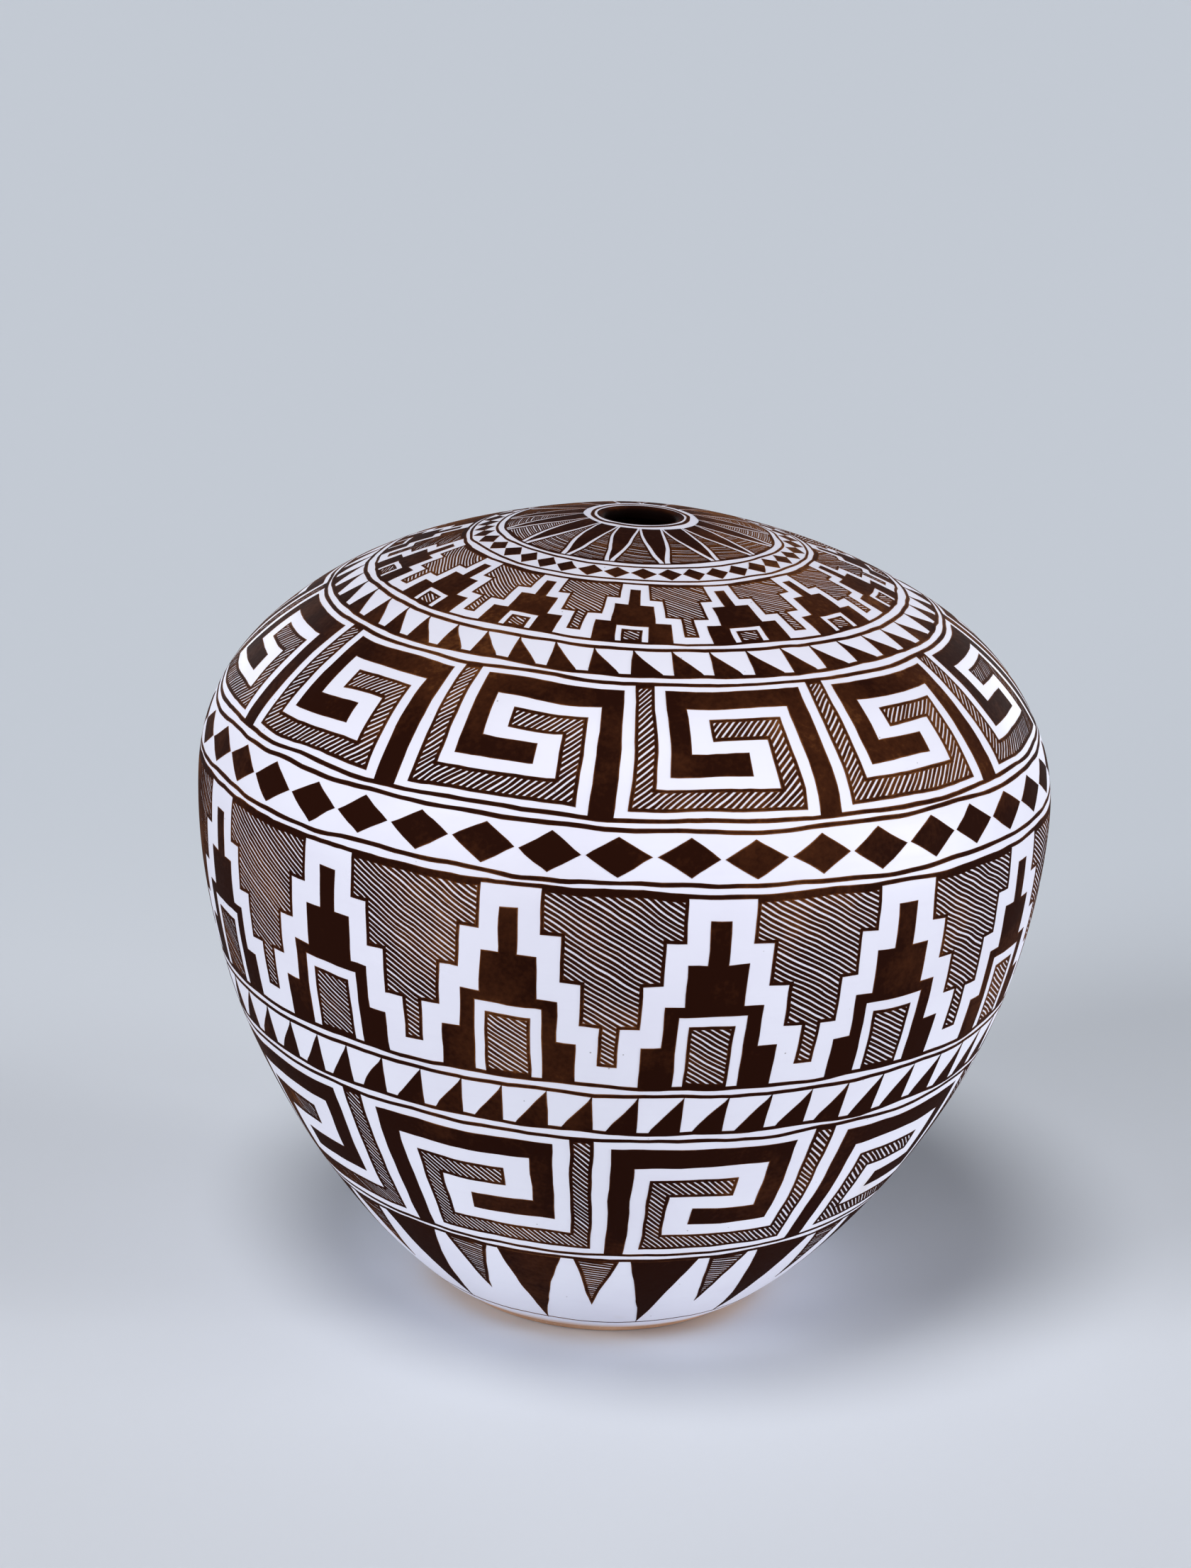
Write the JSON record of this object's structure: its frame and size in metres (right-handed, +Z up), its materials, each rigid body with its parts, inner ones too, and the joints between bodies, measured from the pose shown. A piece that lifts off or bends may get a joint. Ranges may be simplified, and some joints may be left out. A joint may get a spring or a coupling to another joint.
{
  "type": "pottery seed pot",
  "caption": "High-shouldered hollow clay seed pot with a small round mouth in a flat dome, tapering to a narrow foot; white slip with dark painted bands.",
  "frame": {"origin": "on the pot's axis, at the surface it stands on", "axes": "+Z up along the pot's axis, through the middle of the mouth"},
  "size_m": [0.25, 0.25, 0.237],
  "materials": {
    "clay": "matt fired clay",
    "white_slip": "stone-polished satin",
    "brown_paint": "matt mineral paint"
  },
  "bodies": {
    "root": {"base_slab": "clay", "wall_coil_01": "clay", "wall_coil_02": "clay", "wall_coil_03": "clay", "wall_coil_04": "clay", "wall_coil_05": "clay", "wall_coil_06": "clay", "wall_coil_07": "clay", "wall_coil_08": "clay", "wall_coil_09": "clay", "wall_coil_10": "clay", "wall_coil_11": "clay", "wall_coil_12": "clay", "wall_coil_13": "clay", "wall_coil_14": "clay", "rim_coil": "clay", "white_slip": "white_slip", "lip_paint": "brown_paint", "mouth_line": "brown_paint", "foot_line": "brown_paint"}
  },
  "joints": []
}
